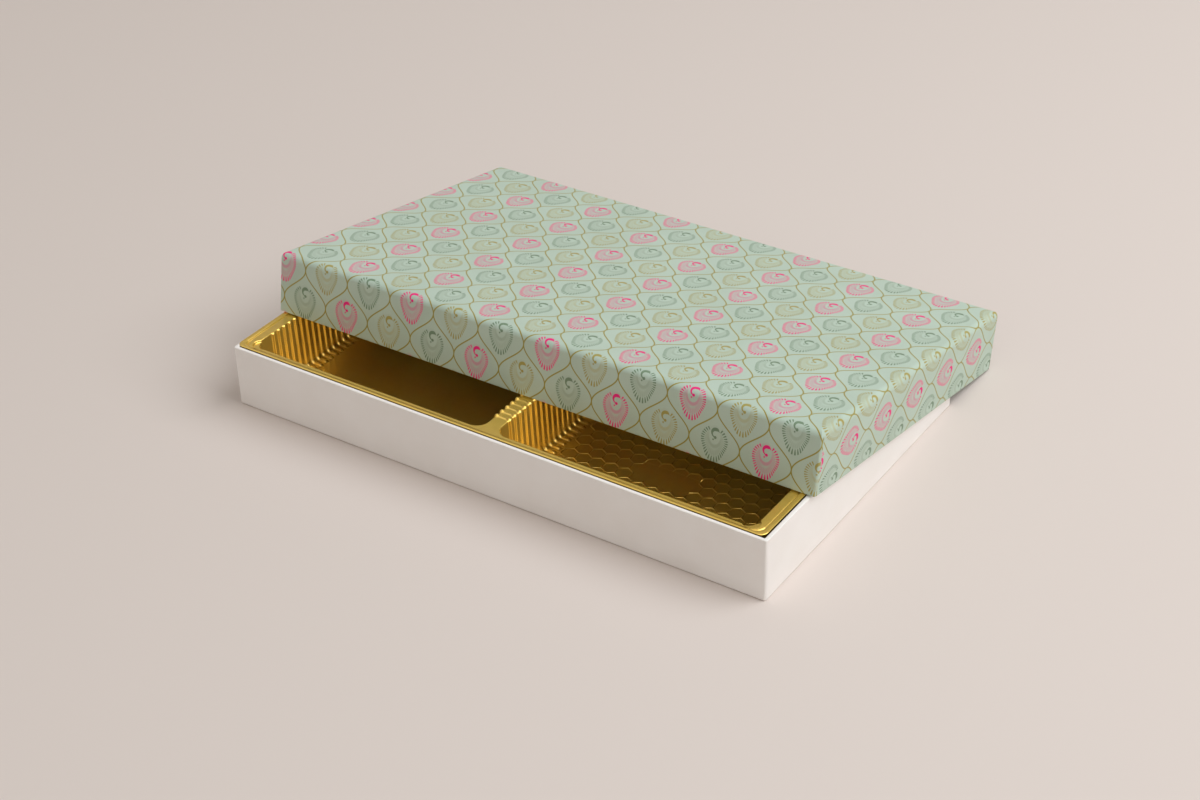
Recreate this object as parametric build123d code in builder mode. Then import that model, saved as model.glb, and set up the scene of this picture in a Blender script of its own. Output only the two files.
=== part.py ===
from build123d import *
from math import asin, cos, degrees, radians, sin, tan
import os

# A rigid sweet box: a paper-wrapped base, a gold formed tray with two compartments, and a
# printed lid that leans on the base with its back edge down on the table.
# Millimetres, +Z up, origin at the centre of the base's underside, +X along the length.
os.makedirs("parts", exist_ok=True)

# Overall sizes of the two wrapped shells
base_length = 280.0
base_depth = 170.0
base_height = 30.6
lid_height = 29.4
lid_play_side = 0.35
lid_play_end = 0.5

# Board, paper and corner tape
board = 1.5
paper = 0.15
turn_in = 15.0
fold_radius = 0.8
lid_edge_radius = 3.0
seam_inset = 1.2
stay_leg = 14.0
stay_thickness = 0.12
stay_margin = 1.0

# How the lid leans
lid_setback = 35.35
lid_seat_gap = 0.02
table_gap = 0.3

# Tray: sheet, flange and fit in the base
sheet = 0.35
rim_gap = 0.05
floor_gap = 0.03
left_reach = 0.1
right_gap = 0.45
end_gap = 0.2
flange_side = 7.0
flange_end = 3.9
band_side = 2.8
band_end = 1.9
band_rise = 0.5
tray_corner = 3.5
band_corner = 4.5
divider_width = 7.2
compartment_corner = 6.0
floor_round = 2.5
draft_angle = 2.0

# Tray: round ears at the outer corners and a plain pad in the patterned floor
ear_radius = 3.8
ear_inset = 2.4
ear_depth = 1.0
pad_length = 28.6
pad_width = 13.3
pad_depth = 0.12
pad_from_wall = 44.85
pad_from_front = 36.8

# Tray: ribs on the left wall and over the divider
rib_width = 1.8
rib_height = 0.9
rib_root = 0.27
rib_end = 0.8
rib_drop = 0.1
rib_pitch = 3.85
rib_span_left = 131.0
rib_span_divider = 135.0
rib_foot = 4.5
rib_crown = 0.4
overrun = 1.0

# The paper doubles on the short sides, where the end panel covers the corner flaps
side_skin = 2 * paper

# The lid's shell goes over the base's with a little play
lid_length = base_length + 2 * (side_skin + board + paper + lid_play_side)
lid_depth = base_depth + 2 * (paper + board + paper + lid_play_end)
corners = [(side, end) for side in (-1, 1) for end in (-1, 1)]
side_names = {-1: "left", 1: "right"}
end_names = {-1: "front", 1: "back"}


# A block with rounded upright corners and a rounded bottom edge
def rounded_block(length, depth, bottom, top, edge_radius, corner_radius):
    with BuildPart() as block:
        with Locations((0, 0, bottom)):
            Box(length, depth, top - bottom, align=(Align.CENTER, Align.CENTER, Align.MIN))
        fillet(block.edges().filter_by(Axis.Z), corner_radius)
        fillet(block.faces().sort_by(Axis.Z)[0].edges(), edge_radius)
    return block.part


# The solid outline of a folded board tray, and the space inside its walls
def board_outline(length, depth, height, edge_radius, inset=0):
    return rounded_block(
        length - 2 * side_skin - 2 * inset, depth - 2 * paper - 2 * inset,
        paper + inset, height - paper, edge_radius - inset, fold_radius - inset,
    )


def inner_size(length, depth):
    return length - 2 * side_skin - 2 * board, depth - 2 * paper - 2 * board


# One strip of corner tape, pressed flush into the board at an upright corner
def corner_stay(length, depth, height, edge_radius, side, end):
    bottom, top = paper + edge_radius, height - paper - stay_margin
    with BuildPart() as stay:
        add(board_outline(length, depth, height, edge_radius))
        add(board_outline(length, depth, height, edge_radius, stay_thickness), mode=Mode.SUBTRACT)
        with Locations((side * length / 2, end * depth / 2, bottom)):
            Box(
                2 * (stay_leg + side_skin), 2 * (stay_leg + paper), top - bottom,
                align=(Align.CENTER, Align.CENTER, Align.MIN), mode=Mode.INTERSECT,
            )
    return stay.part


# Greyboard folded up into an open tray, with its corner tape let in
def board_shell(length, depth, height, edge_radius, stays):
    inner_length, inner_depth = inner_size(length, depth)
    with BuildPart() as shell:
        add(board_outline(length, depth, height, edge_radius))
        with Locations((0, 0, paper + board)):
            Box(
                inner_length, inner_depth, height,
                align=(Align.CENTER, Align.CENTER, Align.MIN), mode=Mode.SUBTRACT,
            )
        for stay in stays:
            add(stay, mode=Mode.SUBTRACT)
    return shell.part


# The paper: outside, over the rim, and turned in along the walls
def paper_wrap(length, depth, height, edge_radius):
    inner_length, inner_depth = inner_size(length, depth)
    with BuildPart() as wrap:
        add(rounded_block(length, depth, 0, height, edge_radius + paper, fold_radius + paper))
        add(board_outline(length, depth, height, edge_radius), mode=Mode.SUBTRACT)
        with Locations((0, 0, height - turn_in)):
            Box(
                inner_length, inner_depth, turn_in,
                align=(Align.CENTER, Align.CENTER, Align.MIN),
            )
        with Locations((0, 0, height - turn_in - overrun)):
            Box(
                inner_length - 2 * paper, inner_depth - 2 * paper, turn_in + 2 * overrun,
                align=(Align.CENTER, Align.CENTER, Align.MIN), mode=Mode.SUBTRACT,
            )
        # The end panels stop short of the corners
        with GridLocations(length - paper, depth - seam_inset, 2, 2):
            Box(
                paper, seam_inset, height,
                align=(Align.CENTER, Align.CENTER, Align.MIN), mode=Mode.SUBTRACT,
            )
    return wrap.part


def finish(part, name):
    part.label = name
    export_step(part, "parts/" + name + ".step")


# The base, standing on the table
base_stays = {
    (side, end): corner_stay(base_length, base_depth, base_height, fold_radius, side, end)
    for side, end in corners
}
base_board = board_shell(base_length, base_depth, base_height, fold_radius, base_stays.values())
base_wrap = paper_wrap(base_length, base_depth, base_height, fold_radius)
finish(base_board, "base_board")
finish(base_wrap, "base_wrap")
for (side, end), stay in base_stays.items():
    finish(stay, "base_corner_stay_" + end_names[end] + "_" + side_names[side])

# The tray's levels: its outer band lies on the left rim, the compartments on the base's floor
band_bottom = base_height + rim_gap
band_top = band_bottom + sheet
flange_top = band_top - band_rise
floor_bottom = paper + board + floor_gap
floor_top = floor_bottom + sheet
depth_inside = flange_top - floor_top

# The tray's plan: over the left rim, just inside the right, front and back rims
base_inner_length, base_inner_depth = inner_size(base_length, base_depth)
tray_left = left_reach - base_length / 2
tray_right = base_inner_length / 2 - paper - right_gap
tray_middle = (tray_left + tray_right) / 2
tray_length = tray_right - tray_left
tray_depth = base_inner_depth - 2 * paper - 2 * end_gap
compartment_length = (tray_length - 2 * flange_side - divider_width) / 2
compartment_depth = tray_depth - 2 * flange_end
compartment_offset = (divider_width + compartment_length) / 2
middles = [tray_middle - compartment_offset, tray_middle + compartment_offset]


# The inside of one compartment, drafted and rounded at the floor, grown by a skin
def compartment(middle, skin, top):
    slope = tan(radians(draft_angle))
    growth = skin + (top - flange_top) * slope
    with BuildPart() as hollow:
        with BuildSketch(Plane.XY.offset(top)):
            with Locations((middle, 0)):
                RectangleRounded(
                    compartment_length + 2 * growth, compartment_depth + 2 * growth,
                    compartment_corner + growth,
                )
        extrude(amount=-(top - floor_top + skin), taper=draft_angle)
        fillet(hollow.faces().sort_by(Axis.Z)[0].edges(), floor_round + skin)
    return hollow.part


# One rib: a bar rooted in the sheet, down the wall, round the bend and out onto the floor
def wall_rib(wall_x, top_z):
    slope = tan(radians(draft_angle))
    middle_z = floor_top + floor_round
    middle_x = wall_x + (flange_top - middle_z) * slope + floor_round / cos(radians(draft_angle))
    turns = [radians(turn) for turn in (draft_angle, (draft_angle + 90) / 2, 90)]

    def line(rise, cut):
        radius = floor_round - rise
        return [
            (wall_x + (flange_top - top_z) * slope + rise, top_z - cut),
            *[(middle_x - radius * cos(turn), middle_z - radius * sin(turn)) for turn in turns],
            (middle_x + rib_foot - cut, floor_top + rise),
        ]

    with BuildPart() as rib:
        with BuildSketch(Plane.XZ):
            with BuildLine():
                Polyline(*line(-rib_root, 0), *reversed(line(rib_height, rib_end)), close=True)
            make_face()
        extrude(amount=rib_width / 2, both=True)
    return rib.part


# One rib over the divider: up one face, across the top and down the other
def divider_rib():
    with BuildPart() as rib:
        add(wall_rib(divider_width / 2, flange_top + rib_crown))
        add(mirror(rib.part, about=Plane.YZ))
        with Locations((0, 0, flange_top - rib_root)):
            Box(
                divider_width, rib_width, rib_root + rib_crown,
                align=(Align.CENTER, Align.CENTER, Align.MIN),
            )
    return rib.part.moved(Location((tray_middle, 0, 0)))


def rib_places(span):
    steps = round(span / rib_pitch)
    return [(0, (step / steps - 1 / 2) * span, 0) for step in range(steps + 1)]


left_rib = wall_rib(tray_left + flange_side, flange_top - rib_drop)
middle_rib = divider_rib()

with BuildPart() as gold_tray:
    # Outer band, one step above the flange
    with BuildSketch(Plane.XY.offset(band_bottom)):
        with Locations((tray_middle, 0)):
            RectangleRounded(tray_length, tray_depth, tray_corner)
    extrude(amount=sheet)
    step_length = tray_length - 2 * band_side
    step_depth = tray_depth - 2 * band_end
    with BuildSketch(Plane.XY.offset(flange_top - sheet)):
        with Locations((tray_middle, 0)):
            RectangleRounded(step_length + 2 * sheet, step_depth + 2 * sheet, band_corner + sheet)
    extrude(amount=sheet + band_rise)
    with BuildSketch(Plane.XY.offset(flange_top)):
        with Locations((tray_middle, 0)):
            RectangleRounded(step_length, step_depth, band_corner)
    extrude(amount=band_rise + overrun, mode=Mode.SUBTRACT)
    # Compartments and the shallow ears at their outer corners
    ear_x = tray_length / 2 - flange_side - ear_inset
    ear_y = compartment_depth / 2 - ear_inset
    for middle in middles:
        add(compartment(middle, sheet, flange_top))
    with Locations((tray_middle, 0, flange_top)):
        with GridLocations(2 * ear_x, 2 * ear_y, 2, 2):
            Cylinder(
                ear_radius + sheet, ear_depth + sheet,
                align=(Align.CENTER, Align.CENTER, Align.MAX),
            )
            Cylinder(
                ear_radius, ear_depth,
                align=(Align.CENTER, Align.CENTER, Align.MAX), mode=Mode.SUBTRACT,
            )
    for middle in middles:
        add(compartment(middle, 0, flange_top + overrun), mode=Mode.SUBTRACT)
    # Plain pad pressed into the right-hand floor
    with Locations((
        middles[1] - compartment_length / 2 + pad_from_wall + pad_length / 2,
        pad_from_front - compartment_depth / 2 + pad_width / 2,
        floor_top,
    )):
        Box(
            pad_length, pad_width, pad_depth,
            align=(Align.CENTER, Align.CENTER, Align.MAX), mode=Mode.SUBTRACT,
        )
    with Locations(*rib_places(rib_span_left)):
        add(left_rib)
    with Locations(*rib_places(rib_span_divider)):
        add(middle_rib)
finish(gold_tray.part, "gold_tray")

# The lid's lean: the front wall stands on the tray's band, the back edge nears the table
lid_front_wall = paper + board + paper
lid_seat = band_top + lid_seat_gap
lean = 0.0
for _ in range(8):
    lid_front_z = lid_seat + lid_front_wall * sin(lean)
    lean = asin((lid_front_z - table_gap) / lid_depth)
lid_front_y = lid_setback - base_depth / 2
lid_place = Location((0, lid_front_y, lid_front_z), (-degrees(lean), 0, 0)) * Location(
    (0, lid_depth / 2, lid_height), (180, 0, 0)
)

lid_stays = {
    (side, end): corner_stay(lid_length, lid_depth, lid_height, lid_edge_radius, side, end)
    for side, end in corners
}
lid_board = board_shell(lid_length, lid_depth, lid_height, lid_edge_radius, lid_stays.values())
lid_wrap = paper_wrap(lid_length, lid_depth, lid_height, lid_edge_radius)
finish(lid_board.moved(lid_place), "lid_board")
finish(lid_wrap.moved(lid_place), "lid_wrap")
for (side, end), stay in lid_stays.items():
    # Turned over, the front corner of the shell is the back corner of the lid
    finish(stay.moved(lid_place), "lid_corner_stay_" + end_names[-end] + "_" + side_names[side])

print("lean, degrees:", round(degrees(lean), 3), "lid front z:", round(lid_front_z, 3))
print("tray:", round(tray_length, 2), "x", round(tray_depth, 2), "middle", round(tray_middle, 2))
print("compartment:", round(compartment_length, 2), "x", round(compartment_depth, 2))
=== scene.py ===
from math import atan, atan2, cos, pi, radians, sin, sqrt, tan

import bmesh
import bpy
from mathutils import Matrix, Vector


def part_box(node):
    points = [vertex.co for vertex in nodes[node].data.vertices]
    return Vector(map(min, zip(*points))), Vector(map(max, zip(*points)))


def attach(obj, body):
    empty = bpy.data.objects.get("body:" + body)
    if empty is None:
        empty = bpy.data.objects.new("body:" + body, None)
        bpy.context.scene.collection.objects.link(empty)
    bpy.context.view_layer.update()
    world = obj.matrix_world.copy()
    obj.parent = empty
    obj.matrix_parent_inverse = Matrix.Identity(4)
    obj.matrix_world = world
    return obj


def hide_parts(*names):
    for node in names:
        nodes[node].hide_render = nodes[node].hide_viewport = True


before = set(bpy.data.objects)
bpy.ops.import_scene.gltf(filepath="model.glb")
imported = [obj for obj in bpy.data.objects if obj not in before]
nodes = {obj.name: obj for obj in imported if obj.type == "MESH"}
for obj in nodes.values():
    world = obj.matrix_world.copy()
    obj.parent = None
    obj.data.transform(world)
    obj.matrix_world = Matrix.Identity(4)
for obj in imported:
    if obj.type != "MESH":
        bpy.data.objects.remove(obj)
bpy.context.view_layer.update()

metre = 1000             # millimetres in one metre: pieces are drawn in millimetres
tight = 0.001            # millimetres: nearer than this counts as the same place
print("frame loaded:", len(nodes), "pieces")


# Gives a node's input a value, or links it to what a Field or a socket puts out
def feed(tree, slot, value):
    if isinstance(value, Field):
        value = value.socket
    if isinstance(value, bpy.types.NodeSocket):
        tree.links.new(value, slot)
    else:
        slot.default_value = value


# Node maths written as a formula: each Field is one output socket
class Field:
    def __init__(self, tree, socket):
        self.tree = tree
        self.socket = socket

    def math(self, operation, *others):
        node = self.tree.nodes.new("ShaderNodeMath")
        node.operation = operation
        for slot, value in zip(node.inputs, (self, *others)):
            feed(self.tree, slot, value)
        return Field(self.tree, node.outputs[0])

    def __add__(self, other):
        return self.math("ADD", other)

    def __sub__(self, other):
        return self.math("SUBTRACT", other)

    def __mul__(self, other):
        return self.math("MULTIPLY", other)

    def __truediv__(self, other):
        return self.math("DIVIDE", other)

    # Smooth from start, at low and before it, to end, at high and past it
    def ramp(self, low, high, start=0, end=1):
        node = self.tree.nodes.new("ShaderNodeMapRange")
        node.interpolation_type = "SMOOTHSTEP"
        values = {"Value": self, "From Min": low, "From Max": high, "To Min": start, "To Max": end}
        for name, value in values.items():
            feed(self.tree, node.inputs[name], value)
        return Field(self.tree, node.outputs["Result"])


def colour(red, green, blue):    # screen values 0 to 255, as picked in a paint program
    return [(part / 255) ** 2.2 for part in (red, green, blue)] + [1]


def newMaterial(name):
    material = bpy.data.materials.new(name)
    material.use_nodes = True
    tree = material.node_tree
    return material, tree, tree.nodes["Principled BSDF"]


# A node group with named inputs, each with its usual value, and named outputs
def newGroup(name, inputs, outputs):
    tree = bpy.data.node_groups.new(name, "ShaderNodeTree")
    for title, kind, value in inputs:
        socket = tree.interface.new_socket(title, in_out="INPUT", socket_type="NodeSocket" + kind)
        if value is not None:    # a vector input has none
            socket.default_value = value
    for title, kind in outputs:
        tree.interface.new_socket(title, in_out="OUTPUT", socket_type="NodeSocket" + kind)
    return tree, tree.nodes.new("NodeGroupInput"), tree.nodes.new("NodeGroupOutput")


def placeGroup(tree, group, **values):
    node = tree.nodes.new("ShaderNodeGroup")
    node.node_tree = group
    for title, value in values.items():
        feed(tree, node.inputs[title], value)
    return node


def noise(tree, vector, scale, detail=2, roughness=0.5):
    node = tree.nodes.new("ShaderNodeTexNoise")
    values = {"Vector": vector, "Scale": scale, "Detail": detail, "Roughness": roughness}
    for name, value in values.items():
        feed(tree, node.inputs[name], value)
    return Field(tree, node.outputs["Fac"])


def mixColour(tree, factor, first, second):
    node = tree.nodes.new("ShaderNodeMix")
    node.data_type = "RGBA"
    for slot, value in ((node.inputs[0], factor), (node.inputs[6], first), (node.inputs[7], second)):
        feed(tree, slot, value)
    return node.outputs[2]


def objectPlace(tree):
    return tree.nodes.new("ShaderNodeTexCoord").outputs["Object"]


def bump(tree, height, normalSocket, distance):
    node = tree.nodes.new("ShaderNodeBump")
    node.inputs["Distance"].default_value = distance
    feed(tree, node.inputs["Height"], height)
    tree.links.new(node.outputs["Normal"], normalSocket)


# Paper and board fibres: fine grain, cloudy tone and short dark flecks
def makeFibreGroup():
    tree, given, out = newGroup(
        "fibres",
        [("Vector", "Vector", None), ("Fineness", "Float", 2500.0), ("Cloud", "Float", 60.0),
         ("Fleck", "Float", 0.7)],
        [("Tone", "Float"), ("Flecks", "Float"), ("Height", "Float")],
    )
    vector = given.outputs["Vector"]
    grain = noise(tree, vector, given.outputs["Fineness"], 3, 0.6)
    clouds = noise(tree, vector, given.outputs["Cloud"], 4, 0.55)
    stretched = tree.nodes.new("ShaderNodeMapping")
    stretched.inputs["Scale"].default_value = (0.35, 1, 0.6)
    stretched.inputs["Rotation"].default_value = (0, 0, 0.6)
    tree.links.new(vector, stretched.inputs["Vector"])
    threads = noise(tree, stretched.outputs["Vector"], 1600, 4, 0.65)
    cut = Field(tree, given.outputs["Fleck"])
    feed(tree, out.inputs["Tone"], clouds * 0.65 + grain * 0.35)
    feed(tree, out.inputs["Flecks"], threads.ramp(cut, cut + 0.08))
    feed(tree, out.inputs["Height"], grain * 0.6 + threads * 0.4)
    return tree


fibreGroup = makeFibreGroup()


def makeFibreMaterial(name, look):
    material, tree, shader = newMaterial(name)
    fibres = placeGroup(
        tree, fibreGroup, Vector=objectPlace(tree), Fineness=look["fineness"], Cloud=look["cloud"],
        Fleck=look["fleckCut"],
    )
    tone = Field(tree, fibres.outputs["Tone"])
    ground = mixColour(tree, tone.ramp(0.35, 0.65), look["dark"], look["light"])
    flecks = Field(tree, fibres.outputs["Flecks"]) * look["fleckShare"]
    tree.links.new(mixColour(tree, flecks, ground, look["fleck"]), shader.inputs["Base Color"])
    feed(tree, shader.inputs["Roughness"], tone.ramp(0.3, 0.7, *look["rough"]))
    shader.inputs["Specular IOR Level"].default_value = look["gloss"]
    bump(tree, fibres.outputs["Height"], shader.inputs["Normal"], look["relief"])
    return material


whitePaper = {
    "light": colour(243, 239, 235), "dark": colour(240, 235, 230), "fleck": colour(214, 206, 197),
    "fineness": 3200, "cloud": 45, "fleckCut": 0.72, "fleckShare": 0.35, "rough": (0.46, 0.58),
    "gloss": 0.45, "relief": 0.00002,
}
greyBoard = {
    "light": colour(214, 208, 197), "dark": colour(197, 189, 176), "fleck": colour(140, 129, 114),
    "fineness": 1800, "cloud": 90, "fleckCut": 0.6, "fleckShare": 0.7, "rough": (0.8, 0.95),
    "gloss": 0.2, "relief": 0.00008,
}
brownTape = {
    "light": colour(196, 160, 114), "dark": colour(174, 137, 92), "fleck": colour(132, 98, 62),
    "fineness": 2200, "cloud": 120, "fleckCut": 0.62, "fleckShare": 0.6, "rough": (0.6, 0.75),
    "gloss": 0.35, "relief": 0.00005,
}


# Each part once, in the order they come
def once(parts):
    return list(dict.fromkeys(parts))


# A rounded rectangle: a circle whose quarters are moved apart
def roundedLoop(bm, ring, cuts, middle=0, earReach=None):
    turn = Matrix.Rotation(pi / (4 * cuts), 4, "Z")
    loop = bmesh.ops.create_circle(bm, segments=4 * cuts, radius=1, matrix=turn)["verts"]
    for vert in loop:
        way = vert.co.copy()
        side = Vector((1 if way.x > 0 else -1, 1 if way.y > 0 else -1, 0))
        radius = ring["corner"]
        centre = Vector((side.x * (ring["halfX"] - radius), side.y * (ring["halfY"] - radius), 0))
        if earReach and "ear" in ring:
            radius = max(radius, earReach(way, side) - ring["ear"])
        vert.co = centre + way * radius + Vector((middle, 0, ring["z"]))
    return loop, once(edge for vert in loop for edge in vert.link_edges)


# The angles of a quarter turn, both ends included
def quarterTurn(steps):
    return [step / steps * pi / 2 for step in range(steps + 1)]


# Gives each ring its way along the profile, from the first ring on
def measureAlong(rings):
    before = rings[0]
    before["along"] = 0
    for ring in rings[1:]:
        step = sqrt((ring["halfX"] - before["halfX"]) ** 2 + (ring["z"] - before["z"]) ** 2)
        ring["along"] = before["along"] + step
        before = ring


# Rings bridged one to the next into an open sheet; each point keeps its way "along" the profile
def ringSheet(bm, rings, cuts, middle=0, earReach=None):
    along = bm.verts.layers.float.get("along") or bm.verts.layers.float.new("along")
    loops = []
    before = None
    for ring in rings:
        loop, edges = roundedLoop(bm, ring, cuts, middle, earReach)
        for vert in loop:
            vert[along] = ring.get("along", 0)
        if before:
            bmesh.ops.bridge_loops(bm, edges=before + edges)
        before = edges
        loops.append(loop)
    return loops


# Faces with their edges and points, as bisect_plane wants them
def withParts(faces):
    return once(part for face in faces for part in (face, *face.edges, *face.verts))


def addPiece(name, bm, material, body, replaced, place=None):
    mesh = bpy.data.meshes.new(name)
    scale = Matrix.Scale(1 / metre, 4)
    bm.transform((place or Matrix.Identity(4)) @ scale)
    bm.to_mesh(mesh)
    bm.free()
    for face in mesh.polygons:
        face.use_smooth = True
    piece = bpy.data.objects.new(name, mesh)
    bpy.context.scene.collection.objects.link(piece)
    mesh.materials.append(material)
    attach(piece, body)
    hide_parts(*replaced)
    return piece


def addThickness(piece, thickness):
    solid = piece.modifiers.new("thickness", "SOLIDIFY")
    solid.thickness = thickness / metre
    solid.offset = -1


# The big faces decide the normals at their edges, so flat stays flat beside a round
def addFlatShading(piece):
    normals = piece.modifiers.new("flat faces", "WEIGHTED_NORMAL")
    normals.mode = "FACE_AREA"
    normals.weight = 50


# The wrapping paper of one shell, opening upwards: underside, walls, rim and turned-in edge
sheetSizes = {
    "paper": 0.15,
    "board": 1.5,
    "turnIn": 15,
    "rimRound": 0.4,
    "cornerRound": 0.95,
    "innerCorner": 0.25,
    "leastCorner": 0.08,         # the corners' radius on the flat face, inside the fold
    "seamInset": 1.2,            # an end panel's side stops this far from the corner
    "seamStep": 0.12,
    "foldSteps": 5,
    "rimSteps": 3,
    "cuts": 6,                   # points in a quarter of every ring
    "baseFold": 0.95,
    "lidFold": 3.15,
}


def wrapRings(size):
    paper, board, rim = sheetSizes["paper"], sheetSizes["board"], sheetSizes["rimRound"]
    halfX, halfY, height, edge = size["length"] / 2, size["depth"] / 2, size["height"], size["edgeRound"]
    corner, innerCorner = sheetSizes["cornerRound"], sheetSizes["innerCorner"]
    wallX, wallY = 3 * paper + board, 2 * paper + board
    rings = []

    def add(insetX, insetY, z, radius):
        rings.append({"halfX": halfX - insetX, "halfY": halfY - insetY, "z": z, "corner": radius})

    for turn in quarterTurn(sheetSizes["foldSteps"]):    # the fold between the flat face and the walls
        inset = edge * (1 - sin(turn))
        add(inset, inset, edge * (1 - cos(turn)), max(corner - inset, sheetSizes["leastCorner"]))
    for turn in quarterTurn(sheetSizes["rimSteps"]):     # over the rim, outer edge
        inset = rim * (1 - cos(turn))
        add(inset, inset, height - rim * (1 - sin(turn)), corner - inset)
    for turn in quarterTurn(sheetSizes["rimSteps"]):     # over the rim, inner edge
        inset = rim * (1 - sin(turn))
        add(wallX - inset, wallY - inset, height - rim * (1 - cos(turn)), innerCorner + inset)
    add(wallX, wallY, height - sheetSizes["turnIn"], innerCorner)
    measureAlong(rings)
    return rings


# Where a point of the folded sheet lies when the sheet is flat, from the printed top's corner
def unfold(bm, size):
    along = bm.verts.layers.float["along"]
    flat = bm.loops.layers.uv.new("sheet")
    halfX, halfY, edge = size["length"] / 2, size["depth"] / 2, size["edgeRound"]
    corner = sheetSizes["cornerRound"]
    seam = halfY - sheetSizes["seamInset"]
    for face in bm.faces:
        middle, normal = face.calc_center_median(), face.normal
        onFace = middle.z < tight
        onEnd = abs(middle.y) > seam or abs(normal.y) > abs(normal.x)
        for loop in face.loops:
            x, y, far = loop.vert.co.x, loop.vert.co.y, loop.vert[along]
            sideX, sideY = (1 if middle.x > 0 else -1), (1 if middle.y > 0 else -1)
            if onFace:
                u, v = x, y
            elif onEnd:
                past = abs(x) - (halfX - corner)
                if past > 0:
                    turn = atan2(past, max(abs(y) - (halfY - corner), tight / 10))
                    past = corner * turn + max(halfY - corner - abs(y), 0)
                    u = sideX * (halfX - corner + past)
                else:
                    u = x
                v = sideY * (halfY - edge + far)
            else:
                u, v = sideX * (halfX - edge + far), y
            loop[flat].uv = (u + halfX, halfY - v)


def makeWrap(name, size, material, body, node, place=None):
    bm = bmesh.new()
    loops = ringSheet(bm, wrapRings(size), sheetSizes["cuts"])
    bmesh.ops.contextual_create(bm, geom=loops[0])
    # The end panels stop short of the corners, so the paper there lies one sheet deeper
    seam = size["depth"] / 2 - sheetSizes["seamInset"]
    for y in (-seam - sheetSizes["seamStep"], -seam, seam, seam + sheetSizes["seamStep"]):
        walls = [face for face in bm.faces if abs(face.calc_center_median().x) > size["length"] / 2 - 1]
        bmesh.ops.bisect_plane(
            bm, geom=withParts(walls), plane_co=(0, y, 0), plane_no=(0, 1, 0), dist=tight / 10)
    for vert in bm.verts:
        outside = abs(vert.co.x) > size["length"] / 2 - sheetSizes["cornerRound"]
        if outside and abs(vert.co.y) > seam + sheetSizes["seamStep"] / 2:
            vert.co.x -= sheetSizes["paper"] * (1 if vert.co.x > 0 else -1)
    bmesh.ops.recalc_face_normals(bm, faces=bm.faces)
    if min(bm.faces, key=lambda face: face.calc_center_median().z).normal.z > 0:
        bmesh.ops.reverse_faces(bm, faces=bm.faces)
    unfold(bm, size)
    piece = addPiece(name, bm, material, body, [node], place)
    addThickness(piece, sheetSizes["paper"])
    addFlatShading(piece)


baseLow, baseHigh = (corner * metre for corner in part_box("base_wrap"))
baseSize = {
    "length": baseHigh.x - baseLow.x, "depth": baseHigh.y - baseLow.y, "height": baseHigh.z - baseLow.z,
    "edgeRound": sheetSizes["baseFold"],
}


# The leaning lid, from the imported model: its own sizes and the matrix that leans it
def readLid():
    mesh = nodes["lid_wrap"].data
    normal = max(mesh.polygons, key=lambda face: face.area).normal
    lean = atan(normal.y / normal.z)
    back, up = Vector((0, cos(lean), -sin(lean))), Vector((0, sin(lean), cos(lean)))
    depths = [vert.co.dot(back) for vert in mesh.vertices]
    heights = [vert.co.dot(up) for vert in mesh.vertices]
    low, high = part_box("lid_wrap")
    size = {
        "length": (high.x - low.x) * metre, "depth": (max(depths) - min(depths)) * metre,
        "height": (max(heights) - min(heights)) * metre, "edgeRound": sheetSizes["lidFold"],
    }
    place = Matrix((
        (1, 0, 0, 0),
        (0, -back.y, -up.y, 0),
        (0, -back.z, -up.z, 0),
        (0, 0, 0, 1),
    ))
    middle = back * (max(depths) + min(depths)) / 2 + up * max(heights)
    return size, Matrix.Translation(middle) @ place


lidSize, lidPlace = readLid()
print("lid:", {key: round(value, 2) for key, value in lidSize.items()})


# The print: a lattice of ogee lines with a feather eye in each cell. Its places are
# millimetres on the flat sheet: u to the right, v from the front top edge to the back.
printLayout = {
    "firstColumn": 2.9,
    "columnPitch": 12.25,
    "rowPitch": 31.05,
    "firstEye": 27.0,            # v of an eye in an even column
    "lineWidth": 0.6,
    "soften": 0.1,               # how far an inked edge fades
    "mint": colour(183, 201, 186),
    "mintDeep": colour(177, 195, 179),
    "line": colour(150, 140, 54),
    "inks": [                    # strong and soft ink of each column in turn
        (colour(232, 14, 120), colour(208, 116, 148)),
        (colour(112, 136, 110), colour(154, 172, 152)),
        (colour(160, 150, 80), colour(176, 176, 130)),
    ],
    "softShare": 0.65,           # how much of the soft ink is laid
    "fibres": {"Fineness": 2600, "Cloud": 40, "Fleck": 0.8},
    "rough": (0.42, 0.52), "lineSmooth": 0.12, "gloss": 0.5, "relief": 0.00003,
}

# One feather eye, in millimetres from its middle; its tip points to the front
featherEye = {
    "focus": 1.5,                # the strokes point to this place
    "round": 6.45,
    "tip": 3.7,
    "tipSharp": 12,
    "strokes": 34,
    "crowding": 0.19,            # closer strokes at the round end, so they stand evenly
    "strokeStart": 0.72,         # shares of the way out from the focus
    "hatchStart": 0.45,
    "strokeWide": (0.15, 0.26),  # half a stroke's width, inner and outer end, in strokes
    "hatchWide": 0.22,
    "hatchTone": 0.8,
    "openTop": (-0.36, 0.42),    # the gap over the curl, in radians
    "ovalMiddle": 3.6,
    "ovalWide": 2.75,
    "ovalTall": 4.1,
    "hookMiddle": (0.4, 4.75),
    "hookRadius": 1.85,
    "hookThick": 0.8,
    "ballMiddle": (0.25, 2.85),
    "ballRadius": 0.68,
    "dotMiddle": (-0.65, 1.75),
    "dotRadius": 0.4,
}


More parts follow.
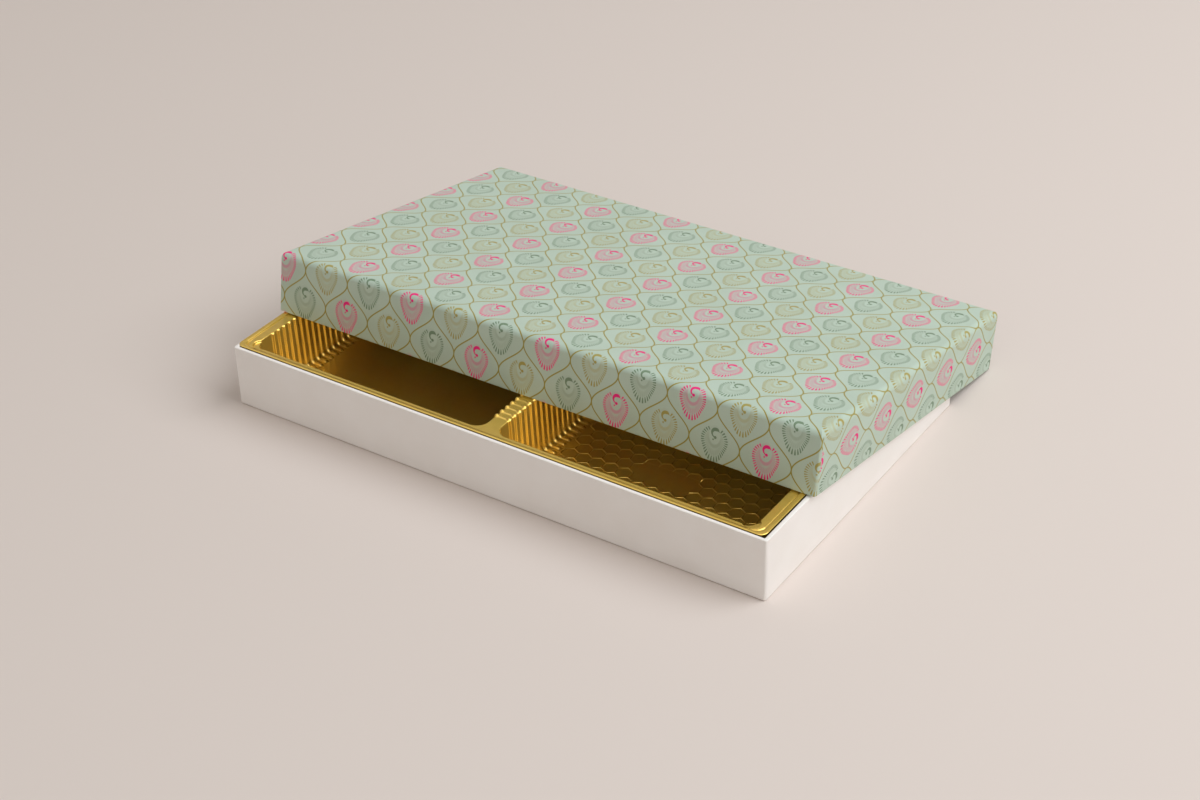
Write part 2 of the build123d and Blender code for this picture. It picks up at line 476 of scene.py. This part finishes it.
def makeEyeGroup():
    eye = featherEye
    soft = printLayout["soften"]
    tree, given, out = newGroup(
        "feather eye", [("Across", "Float", 0.0), ("Along", "Float", 0.0)],
        [("Strong", "Float"), ("Soft", "Float")],
    )
    across, along = Field(tree, given.outputs["Across"]), Field(tree, given.outputs["Along"])

    def distance(x, y):
        return ((across - x).math("POWER", 2) + (along - y).math("POWER", 2)).math("SQRT")

    def spot(place, radius):
        return distance(*place).ramp(radius + soft, radius - soft)

    up = along - eye["focus"]
    reach = distance(0, eye["focus"]) + 0.001
    turn = across.math("ARCTAN2", up)
    down = (up / reach * -1 + 1) / 2
    outline = down.math("POWER", eye["tipSharp"]) * eye["tip"] + eye["round"]
    share = reach / outline
    left, right = eye["openTop"]
    open = turn.ramp(left, left - 0.12).math("MAXIMUM", turn.ramp(right, right + 0.12))

    # Strokes around the edge, wider outwards, that run on inwards as a pale hatch
    beat = (turn - turn.math("SINE") * eye["crowding"]) * (eye["strokes"] / 2 / pi)
    off = (beat.math("FRACT") - 0.5).math("ABSOLUTE")
    start, narrow, wide = eye["strokeStart"], *eye["strokeWide"]
    width = share.ramp(start, 0.9, narrow, wide)
    stroke = off.ramp(width + 0.03, width - 0.03)
    stroke = stroke * share.ramp(start, start + 0.03) * share.ramp(1.01, 0.985) * open
    hatch = off.ramp(eye["hatchWide"] + 0.1, eye["hatchWide"] - 0.1) * 0.5 + 0.5
    hatch = hatch * share.ramp(start + 0.02, start - 0.04) * open
    hatch = hatch * share.ramp(eye["hatchStart"] - 0.1, eye["hatchStart"] + 0.1) * eye["hatchTone"]

    # A soft ring around the clear oval, heaviest under it
    oval = (
        (across / eye["ovalWide"]).math("POWER", 2)
        + ((along - eye["ovalMiddle"]) / eye["ovalTall"]).math("POWER", 2)
    ).math("SQRT")
    under = (along - eye["ovalMiddle"]).ramp(3, -4, 0.25, 1)
    ring = oval.ramp(0.94, 1.03) * oval.ramp(under * 0.42 + 1.12, under * 0.2 + 1.03) * under

    # The curl: thick over the top, thin down the left, a ball at its foot and a dot beside it
    hookX, hookY = eye["hookMiddle"]
    around = (across - hookX).math("ARCTAN2", along - hookY)
    sweep = (around * (-0.5 / pi) + 0.18).math("FRACT")      # 0 at the right tip, on over the top
    thick = sweep.ramp(0, 0.16, 0.08, eye["hookThick"]) - sweep.ramp(0.2, 0.6, 0, eye["hookThick"] - 0.28)
    hook = (distance(hookX, hookY) - eye["hookRadius"]).math("ABSOLUTE")
    hook = hook.ramp(thick + soft, thick - soft) * sweep.ramp(0.69, 0.66)
    curl = hook.math("MAXIMUM", spot(eye["ballMiddle"], eye["ballRadius"]))
    curl = curl.math("MAXIMUM", spot(eye["dotMiddle"], eye["dotRadius"]))

    feed(tree, out.inputs["Strong"], stroke.math("MAXIMUM", curl))
    feed(tree, out.inputs["Soft"], ring.math("MAXIMUM", hatch * oval.ramp(1.0, 1.2)))
    return tree


def makePrintedPaper():
    layout = printLayout
    material, tree, shader = newMaterial("printed mint paper")
    flat = tree.nodes.new("ShaderNodeUVMap")
    flat.uv_map = "sheet"
    split = tree.nodes.new("ShaderNodeSeparateXYZ")
    tree.links.new(flat.outputs["UV"], split.inputs["Vector"])
    column = (Field(tree, split.outputs["X"]) - layout["firstColumn"]) / layout["columnPitch"]
    row = (Field(tree, split.outputs["Y"]) - layout["firstEye"]) / layout["rowPitch"]

    # The line between two columns swings from one column's middle to the other's
    swing = (row * (2 * pi)).math("COSINE") * 0.5 + 0.5
    fold = column.math("PINGPONG", 1)
    slope = (row * (2 * pi)).math("SINE") * (pi * layout["columnPitch"] / layout["rowPitch"])
    steep = (slope.math("POWER", 2) + 1).math("SQRT")
    away = (fold - swing).math("ABSOLUTE") * layout["columnPitch"] / steep
    half = layout["lineWidth"] / 2
    line = away.ramp(half + layout["soften"], half - layout["soften"])

    # Which cell the point is in, and where in it
    odd = fold.math("GREATER_THAN", swing)
    own = ((column - odd) / 2).math("ROUND") * 2 + odd
    across = (column - own) * layout["columnPitch"]
    up = row - odd / 2
    along = (up - up.math("ROUND")) * layout["rowPitch"]
    eye = placeGroup(tree, makeEyeGroup(), Across=across, Along=along)
    kind = own.math("FLOORED_MODULO", len(layout["inks"]))

    fibres = placeGroup(tree, fibreGroup, Vector=objectPlace(tree), **layout["fibres"])
    tone = Field(tree, fibres.outputs["Tone"])
    ground = mixColour(tree, tone.ramp(0.35, 0.65), layout["mintDeep"], layout["mint"])
    strong, soft = layout["inks"][0]
    for number, (nextStrong, nextSoft) in enumerate(layout["inks"][1:], 1):
        chosen = kind.math("COMPARE", number, 0.4)
        strong = mixColour(tree, chosen, strong, nextStrong)
        soft = mixColour(tree, chosen, soft, nextSoft)
    inked = mixColour(tree, Field(tree, eye.outputs["Soft"]) * layout["softShare"], ground, soft)
    inked = mixColour(tree, eye.outputs["Strong"], inked, strong)
    inked = mixColour(tree, line, inked, layout["line"])
    tree.links.new(inked, shader.inputs["Base Color"])
    rough = tone.ramp(0.3, 0.7, *layout["rough"]) - line * layout["lineSmooth"]
    feed(tree, shader.inputs["Roughness"], rough)
    shader.inputs["Specular IOR Level"].default_value = layout["gloss"]
    bump(tree, fibres.outputs["Height"], shader.inputs["Normal"], layout["relief"])
    return material


goldFilm = {
    "bright": colour(226, 190, 92), "deep": colour(214, 176, 78), "rough": (0.2, 0.27),
    "metallic": 0.62, "lacquer": 0.4, "lacquerRough": 0.1,
    "rippleScale": 28, "hazeScale": 420, "peelScale": 2400,
    "ripple": 0.0001, "peel": 0.0000008,     # metres: broad waves and fine grain
}


def makeGold():
    material, tree, shader = newMaterial("gold formed film")
    place = objectPlace(tree)
    ripple = noise(tree, place, goldFilm["rippleScale"], 2, 0.4)
    haze = noise(tree, place, goldFilm["hazeScale"], 4, 0.6)
    peel = noise(tree, place, goldFilm["peelScale"], 2, 0.5)
    tone = mixColour(tree, (ripple * 0.8 + haze * 0.2).ramp(0.3, 0.7), goldFilm["deep"], goldFilm["bright"])
    tree.links.new(tone, shader.inputs["Base Color"])
    shader.inputs["Metallic"].default_value = goldFilm["metallic"]
    shader.inputs["Coat Weight"].default_value = goldFilm["lacquer"]
    shader.inputs["Coat Roughness"].default_value = goldFilm["lacquerRough"]
    feed(tree, shader.inputs["Roughness"], haze.ramp(0.3, 0.75, *goldFilm["rough"]))
    height = ripple + peel * (goldFilm["peel"] / goldFilm["ripple"])
    bump(tree, height, shader.inputs["Normal"], goldFilm["ripple"])
    return material


# The formed tray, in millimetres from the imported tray's box
trayLow, trayHigh = (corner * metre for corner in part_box("gold_tray"))
tray = {
    "sheet": 0.3,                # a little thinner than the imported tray, so nothing stands out of it
    "floorSkin": 0.35,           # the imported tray's own
    "bandRise": 0.5,
    "bandSide": 2.8,
    "bandEnd": 1.9,
    "outerCorner": 3.5,
    "bandCorner": 4.5,
    "flangeSide": 7,
    "flangeEnd": 3.9,
    "divider": 7.2,
    "cavityCorner": 6,
    "edgeRound": 0.45,
    "floorRound": 2.5,
    "draft": radians(2),
    "earRadius": 3.8,
    "earInset": 2.4,
    "earDepth": 1.0,
    # Inset from the cut edge, and from the band's inner line, with the drop from the band's top
    "lip": [(0, -0.32), (0.04, -0.2), (0.14, -0.1), (0.34, -0.035), (0.62, -0.01)],
    "groove": [(-1.1, 0), (-0.8, -0.03), (-0.6, -0.1), (-0.47, -0.24), (-0.39, -0.46), (-0.3, -0.7),
               (-0.1, -0.85), (0.12, -0.79), (0.28, -0.62), (0.4, -0.5)],
    # Heights above an ear's floor, with the ear's inset; then drops below it on the wall
    "earWall": [(0.3, 0.06), (0.08, 0.16), (0, 0.4)],
    "wallDrops": (0.02, 0.3, 0.9, 1.8, 4),
    "roundSteps": 4,
    "cuts": 16,                  # points in a quarter of every ring
}
ribs = {
    "radius": 1.1,
    "sink": 0.2,                 # how much of the round lies under the sheet
    "pitch": 3.85,
    "spanLeft": 131,             # from the first rib to the last
    "spanDivider": 135,
    "start": 1.25,               # on the left wall, along the profile from the flange
    "foot": 7.2,                 # how far a rib runs on over the floor, with its cap
    "footCap": 1.2,
    "leftReach": 10,             # x around a ribbed wall in which its ribs lie
    "dividerReach": 14,
    "topShare": 0.32,            # how much of a rib's height is left on the divider's top
    "topNarrow": 1.5,            # and how much narrower it is there
    "capReach": 1.3,
    "sideSteps": (-1.08, -0.92, -0.55, 0, 0.55, 0.92, 1.08),
    "gapShares": (0.15, 0.5),    # more samples between the last rib and the corner
    "footSteps": (1.3, 2.6, 3.3, 3.9, 4.4, 4.7, 5.1),
    "topSteps": 14,
}
hexagons = {
    "acrossFlats": 7.14,
    "ridgeHalf": 0.45,
    "ridgeHeight": 0.5,
    "margin": 0.46,              # plain floor left along the walls
    "start": 11.4,               # x of the first cut cell, past the ribs' feet
}
plainPad = {"fromWall": 44.85, "fromFront": 36.8, "length": 28.6, "width": 13.3, "depth": 0.12}
weld = 0.03                      # millimetres: points of joining strips nearer than this become one

bandTop = trayHigh.z
flangeTop = bandTop - tray["bandRise"]
floorTop = trayLow.z + tray["floorSkin"]
trayMiddle = (trayLow.x + trayHigh.x) / 2
trayHalfX, trayHalfY = (trayHigh.x - trayLow.x) / 2, (trayHigh.y - trayLow.y) / 2
cavityHalfX = (trayHalfX * 2 - 2 * tray["flangeSide"] - tray["divider"]) / 4
cavityHalfY = trayHalfY - tray["flangeEnd"]
cavityOffset = tray["divider"] / 2 + cavityHalfX


# The raised bead around the tray's edge, from the cut edge in to the flange
def beadRings():
    wide = tray["bandSide"] - tray["bandEnd"]
    rings = [(inset, inset, drop) for inset, drop in tray["lip"]]
    rings += [
        (tray["bandEnd"] + wide + inset, tray["bandEnd"] + inset, drop) for inset, drop in tray["groove"]]
    steps = len(rings) - 1
    return [{
        "halfX": trayHalfX - insetX, "halfY": trayHalfY - insetY, "z": bandTop + drop,
        "corner": tray["outerCorner"] + (tray["bandCorner"] - tray["outerCorner"]) * index / steps,
    } for index, (insetX, insetY, drop) in enumerate(rings)]


# One cavity's rings, from the flange down to the floor
def cavityRings():
    edge, slope, ears = tray["edgeRound"], tan(tray["draft"]), tray["earDepth"]
    profile = []               # inset from the cavity's line, drop from the flange, ear's inset or None
    for turn in quarterTurn(tray["roundSteps"])[:-1]:
        profile.append((-edge * (1 - sin(turn)), edge * (1 - cos(turn)), -edge * (1 - sin(turn))))
    profile.append((slope * edge, edge, 0))
    profile += [(slope * (ears - rise), ears - rise, inset) for rise, inset in tray["earWall"]]
    profile += [(slope * (ears + drop), ears + drop, None) for drop in tray["wallDrops"]]
    depth, turned = flangeTop - floorTop, tray["floorRound"]
    start = slope * (depth - turned)
    for turn in quarterTurn(tray["roundSteps"]):
        profile.append((start + turned * (1 - cos(turn)), depth - turned * (1 - sin(turn)), None))
    rings = []
    for inset, drop, ear in profile:
        ring = {
            "halfX": cavityHalfX - inset, "halfY": cavityHalfY - inset, "z": flangeTop - drop,
            "corner": tray["cavityCorner"] - inset,
        }
        if ear is not None:
            ring["ear"] = ear
        rings.append(ring)
    measureAlong(rings)
    return rings


# How far an ear's round lobe reaches from the corner's own centre, at the outer corners
def earReachFor(outerSide):
    away = tray["cavityCorner"] - tray["earInset"]

    def reach(way, side):
        if side.x != outerSide:
            return 0
        near = away * (abs(way.x) + abs(way.y))
        return near + sqrt(max(near ** 2 - 2 * away ** 2 + tray["earRadius"] ** 2, 0))

    return reach


def ribCentres(span):
    steps = round(span / ribs["pitch"])
    return [(step / steps - 0.5) * span for step in range(steps + 1)]


# Where the sheet is sampled along a ribbed wall: close on each rib, once in each gap
def ribSamples(span, half):
    centres = ribCentres(span)
    gap = (centres[1] - centres[0]) / 2
    samples = [centre + step for centre in centres for step in ribs["sideSteps"]]
    samples += [centre + gap for centre in centres[:-1]]
    end = centres[-1] + ribs["sideSteps"][-1]
    for share in ribs["gapShares"]:
        samples += [-end - share * (half - end), end + share * (half - end)]
    return sorted(samples)


# Divides a straight side's long edges and slides the new points to the samples
def sampleSide(bm, low, high, samples):
    edges = [edge for edge in bm.edges
             if edge.calc_length() > 2 * samples[-1] and all(low < vert.co.x < high for vert in edge.verts)]
    along = bm.verts.layers.float["along"]
    made = bmesh.ops.subdivide_edges(bm, edges=edges, cuts=len(samples), use_grid_fill=True)
    points = [part for part in made["geom_inner"] if isinstance(part, bmesh.types.BMVert)]
    points.sort(key=lambda vert: (vert.co.x > trayMiddle, vert[along]))
    for first in range(0, len(points), len(samples)):
        row = sorted(points[first:first + len(samples)], key=lambda vert: vert.co.y)
        for vert, y in zip(row, samples):
            vert.co.y = y


# The height of the ribs over the plain sheet; before the cap they are narrow and low
def ribHeight(y, along, centres, first, last):
    nearest = min(centres, key=lambda centre: abs(centre - y))
    past = max(first - along, along - last, 0)
    share = min(max((along + ribs["capReach"]) / ribs["capReach"], 0), 1)
    share = share * share * (3 - 2 * share)
    across = (y - nearest) * (ribs["topNarrow"] + (1 - ribs["topNarrow"]) * share)
    room = ribs["radius"] ** 2 - across ** 2 - past ** 2
    return max(sqrt(max(room, 0)) - ribs["sink"], 0) * (ribs["topShare"] + (1 - ribs["topShare"]) * share)


# The sheet's open edges at one height, or up to a lift above it, between two corners
def openEdges(bm, z, low, high, lift=tight):
    return [edge for edge in bm.edges if edge.is_boundary and all(
        -tight < vert.co.z - z < lift and low[0] < vert.co.x < high[0] and low[1] < vert.co.y < high[1]
        for vert in edge.verts)]


# The points that an extrusion made, and the edges between them
def newParts(parts):
    verts = {part for part in parts if isinstance(part, bmesh.types.BMVert)}
    edges = [part for part in parts if isinstance(part, bmesh.types.BMEdge)]
    return verts, [edge for edge in edges if verts.issuperset(edge.verts)]


def overlaps(face, low, high):
    spans = ([vert.co[axis] for vert in face.verts] for axis in (0, 1))
    return all(min(span) < high[axis] and max(span) > low[axis] for axis, span in enumerate(spans))


# The right floor's raised hexagon lines between two corners, around a plain sunk pad
def addHexagons(bm, low, high, padLow, padHigh):
    flats = hexagons["acrossFlats"]
    radius = flats / sqrt(3)
    verts = []
    for row in range(int((high[1] - low[1]) / (1.5 * radius)) + 3):
        for column in range(int((high[0] - low[0]) / flats) + 3):
            x = low[0] + (column - 0.5 + (row % 2) / 2) * flats
            place = (x, low[1] + (row - 0.5) * 1.5 * radius, floorTop)
            verts += bmesh.ops.create_circle(
                bm, cap_ends=True, segments=6, radius=radius, matrix=Matrix.Translation(place))["verts"]
    bmesh.ops.remove_doubles(bm, verts=verts, dist=0.02)
    crest = [vert for vert in verts if vert.is_valid]
    cells = once(face for vert in crest for face in vert.link_faces)
    faces = list(cells)
    for _ in range(2):         # a ring halfway down rounds the ridge
        faces += bmesh.ops.inset_individual(
            bm, faces=cells, thickness=hexagons["ridgeHalf"] / 2, use_even_offset=True)["faces"]
        for vert in crest:
            vert.co.z += hexagons["ridgeHeight"] / 2
        crest += once(vert for face in cells for vert in face.verts)

    # Cuts along a rectangle's four sides, and clears what lies outside them or leaves it
    def cut(low, high, clear):
        for axis, at, side in ((0, low[0], -1), (0, high[0], 1), (1, low[1], -1), (1, high[1], 1)):
            near = [face for face in faces if face.is_valid and (clear or overlaps(face, low, high))]
            place, normal = [0, 0, 0], [0, 0, 0]
            place[axis], normal[axis] = at, side
            made = bmesh.ops.bisect_plane(
                bm, geom=withParts(near), plane_co=place, plane_no=normal, clear_outer=clear, dist=tight / 2)
            faces.extend(part for part in made["geom"] if isinstance(part, bmesh.types.BMFace))

    cut(low, high, True)
    cut(padLow, padHigh, False)
    inside = [face for face in once(faces) if face.is_valid and all(
        padLow[axis] - tight < vert.co[axis] < padHigh[axis] + tight
        for vert in face.verts for axis in (0, 1))]
    bmesh.ops.delete(bm, geom=inside, context="FACES")
    near = Vector((tight, tight)) * 10
    rim = openEdges(bm, floorTop, padLow - near, padHigh + near, hexagons["ridgeHeight"] * 2)
    verts, edges = newParts(bmesh.ops.extrude_edge_only(bm, edges=rim)["geom"])
    for vert in verts:                   # the pad's edge goes down to its floor
        vert.co.z = floorTop - plainPad["depth"]
    bmesh.ops.triangle_fill(bm, use_beauty=True, edges=edges)


def makeTray():
    bm = bmesh.new()
    ringSheet(bm, beadRings(), tray["cuts"], trayMiddle)
    rings = cavityRings()
    total = rings[-1]["along"]
    straight = cavityHalfY - tray["cavityCorner"]
    leftX = trayMiddle - cavityOffset - cavityHalfX
    for side in (-1, 1):
        ringSheet(bm, rings, tray["cuts"], trayMiddle + side * cavityOffset, earReachFor(side))
    leftSamples, dividerSamples = (ribSamples(ribs[span], straight) for span in ("spanLeft", "spanDivider"))
    sampleSide(bm, leftX - 1, leftX + ribs["leftReach"] / 2, leftSamples)
    sampleSide(bm, trayMiddle - tray["divider"], trayMiddle + tray["divider"], dividerSamples)
    along = bm.verts.layers.float["along"]

    # The feet's strips on the floors, and the divider's top
    def strip(x, z, steps, direction, first):
        reach = straight + 10 * weld
        edges = openEdges(bm, z, (x - weld, -reach), (x + weld, reach))
        before = 0
        for step in steps:
            verts, edges = newParts(bmesh.ops.extrude_edge_only(bm, edges=edges)["geom"])
            for vert in verts:
                vert.co.x += direction * (step - before)
                vert[along] = first + (step if first else -step)
            before = step

    floorInset = cavityHalfX - rings[-1]["halfX"]
    strip(leftX + floorInset, floorTop, ribs["footSteps"], 1, total)
    for side in (-1, 1):
        x = trayMiddle + side * (tray["divider"] / 2 + floorInset)
        strip(x, floorTop, ribs["footSteps"], side, total)
    topWidth = tray["divider"] - 2 * tray["edgeRound"]
    topSteps = [topWidth * step / ribs["topSteps"] for step in range(1, ribs["topSteps"] + 1)]
    strip(trayMiddle - topWidth / 2, flangeTop, topSteps, 1, 0)
    # On the divider's top the way is below zero: how far the nearer edge is
    for vert in bm.verts:
        if vert[along] < 0:
            vert[along] = abs(vert.co.x - trayMiddle) - topWidth / 2
    bmesh.ops.remove_doubles(bm, verts=bm.verts, dist=weld)
    print("tray sheet:", len(bm.verts), "points")

    # Flat fills: flange, left floor, right floor around its hexagons
    rightX = trayMiddle + cavityOffset
    floorHalfX, floorHalfY, margin = cavityHalfX - floorInset, cavityHalfY - floorInset, hexagons["margin"]
    pad = Vector((rightX - cavityHalfX + plainPad["fromWall"], plainPad["fromFront"] - cavityHalfY))
    addHexagons(
        bm, (hexagons["start"], margin - floorHalfY), (rightX + floorHalfX - margin, floorHalfY - margin),
        pad, pad + Vector((plainPad["length"], plainPad["width"])))
    far = trayHalfX * 2
    for z, low, high, lift in (
        (flangeTop, -far, far, tight),
        (floorTop, -far, trayMiddle, tight),
        (floorTop, trayMiddle, far, hexagons["ridgeHeight"] * 1.2),
    ):
        edges = openEdges(bm, z, (low, -far), (high, far), lift)
        bmesh.ops.triangle_fill(bm, use_beauty=True, edges=edges, normal=(0, 0, 1))
    bmesh.ops.recalc_face_normals(bm, faces=bm.faces)
    widest = max(bm.faces, key=lambda face: face.calc_area())
    if widest.normal.z < 0:
        bmesh.ops.reverse_faces(bm, faces=bm.faces)
    bm.normal_update()

    # Ribs: down the left wall and onto the floor; up, over and down at the divider
    last = total + ribs["foot"] - floorInset - ribs["footCap"]
    for span, low, high, first in (
        (ribs["spanLeft"], leftX - 1, leftX + ribs["leftReach"], ribs["start"]),
        (ribs["spanDivider"], trayMiddle - ribs["dividerReach"], trayMiddle + ribs["dividerReach"], -far),
    ):
        centres = ribCentres(span)
        end = centres[-1] + ribs["radius"]
        for vert in [vert for vert in bm.verts if low < vert.co.x < high and abs(vert.co.y) < end]:
            vert.co += vert.normal * ribHeight(vert.co.y, vert[along], centres, first, last)
    piece = addPiece("formed_tray", bm, makeGold(), "tray", ["gold_tray"])
    addThickness(piece, tray["sheet"])
    addFlatShading(piece)


white = makeFibreMaterial("white wrapping paper", whitePaper)
grey = makeFibreMaterial("greyboard", greyBoard)
brown = makeFibreMaterial("gummed corner tape", brownTape)
makeWrap("base_paper", baseSize, white, "base", "base_wrap")
makeWrap("lid_paper", lidSize, makePrintedPaper(), "lid", "lid_wrap", lidPlace)
print("papers wrapped")
makeTray()
print("tray formed")
for name, node in nodes.items():
    if "corner_stay" in name or "board" in name:
        node.data.materials.clear()
        node.data.materials.append(brown if "corner_stay" in name else grey)

# Floor, light and camera
studio = {
    "floor": colour(218, 207, 200), "floorSize": 6, "floorRough": 0.9, "floorGloss": 0.1,
    "world": 0.42, "worldColour": (1, 0.945, 0.88, 1),
    "backdrop": 0.75, "dim": 0.38, "dimFrom": (0.12, 0.42),      # heights from 0, level, to 1, straight up
    "overhead": 0.7, "overheadFrom": (0.55, 0.95),
    "window": (0.82, -0.5, 0.35), "windowLight": 2.6, "windowEdge": (0.3, 0.9),
    "lampColour": (0.93, 0.965, 1), "lampTarget": Vector((0, 0.02, 0.02)),
    "lamps": {
        "key": {"place": (1.2, 0.5, 1.65), "size": 1.9, "watts": 35},
        "fill": {"place": (0.6, -1.8, 1.2), "size": 1.2, "watts": 2.5},
        "back": {"place": (-1.3, 0.7, 1.7), "size": 1.4, "watts": 1.5},
    },
}


def makeFloor():
    bm = bmesh.new()
    bmesh.ops.create_grid(bm, x_segments=1, y_segments=1, size=studio["floorSize"])
    mesh = bpy.data.meshes.new("table")
    bm.to_mesh(mesh)
    bm.free()
    floor = bpy.data.objects.new("table", mesh)
    bpy.context.scene.collection.objects.link(floor)
    material, tree, shader = newMaterial("pale table")
    shader.inputs["Base Color"].default_value = studio["floor"]
    shader.inputs["Roughness"].default_value = studio["floorRough"]
    shader.inputs["Specular IOR Level"].default_value = studio["floorGloss"]
    mesh.materials.append(material)


def addLight(name, place, size, watts):
    light = bpy.data.lights.new(name, "AREA")
    light.shape = "DISK"
    light.size = size
    light.energy = watts
    light.color = studio["lampColour"]
    lamp = bpy.data.objects.new(name, light)
    lamp.location = place
    lamp.rotation_mode = "QUATERNION"
    lamp.rotation_quaternion = (studio["lampTarget"] - Vector(place)).to_track_quat("-Z", "Y")
    bpy.context.scene.collection.objects.link(lamp)


def makeWorld():
    world = bpy.data.worlds.new("studio")
    world.use_nodes = True
    tree = world.node_tree
    back = tree.nodes["Background"]
    back.inputs["Color"].default_value = studio["worldColour"]
    # The camera and the metal see a pale backdrop, dimmer above it and pale again overhead;
    # the metal alone sees a wide window at the front and right
    rays = tree.nodes.new("ShaderNodeLightPath").outputs
    mirrored = Field(tree, rays["Is Glossy Ray"]).math("MAXIMUM", Field(tree, rays["Is Transmission Ray"]))
    seen = mirrored.math("MAXIMUM", Field(tree, rays["Is Camera Ray"]))
    split = tree.nodes.new("ShaderNodeSeparateXYZ")
    way = tree.nodes.new("ShaderNodeTexCoord").outputs["Generated"]
    tree.links.new(way, split.inputs["Vector"])
    facing = tree.nodes.new("ShaderNodeVectorMath")
    facing.operation = "DOT_PRODUCT"
    feed(tree, facing.inputs[0], way)
    facing.inputs[1].default_value = Vector(studio["window"]).normalized()
    height = Field(tree, split.outputs["Z"])
    room = height.ramp(*studio["dimFrom"], studio["backdrop"], studio["dim"])
    room = room + height.ramp(*studio["overheadFrom"], 0, studio["overhead"])
    window = Field(tree, facing.outputs["Value"]).ramp(*studio["windowEdge"], 0, studio["windowLight"])
    feed(tree, back.inputs["Strength"], seen * (room - studio["world"]) + studio["world"] + mirrored * window)
    bpy.context.scene.world = world


# The photograph's view, found from the box's corners
view = {
    "place": (0.481249, -0.703386, 0.562494),
    "azimuth": radians(34.163), "elevation": radians(33.328), "roll": radians(-1.428),
    "lens": 66.45,
}


def makeCamera():
    turn, lift = view["azimuth"], view["elevation"]
    back = Vector((sin(turn) * cos(lift), -cos(turn) * cos(lift), sin(lift)))
    right = Vector((0, 0, 1)).cross(back).normalized()
    up = back.cross(right)
    axes = Matrix((right, up, back)).transposed().to_4x4()
    data = bpy.data.cameras.new("camera")
    data.lens = view["lens"]
    data.sensor_width = 36
    camera = bpy.data.objects.new("camera", data)
    camera.matrix_world = Matrix.Translation(view["place"]) @ axes @ Matrix.Rotation(view["roll"], 4, "Z")
    bpy.context.scene.collection.objects.link(camera)
    bpy.context.scene.camera = camera


makeFloor()
makeWorld()
for name, lamp in studio["lamps"].items():
    addLight(name, **lamp)
makeCamera()
bpy.context.scene.view_settings.view_transform = "Standard"
print("studio set")
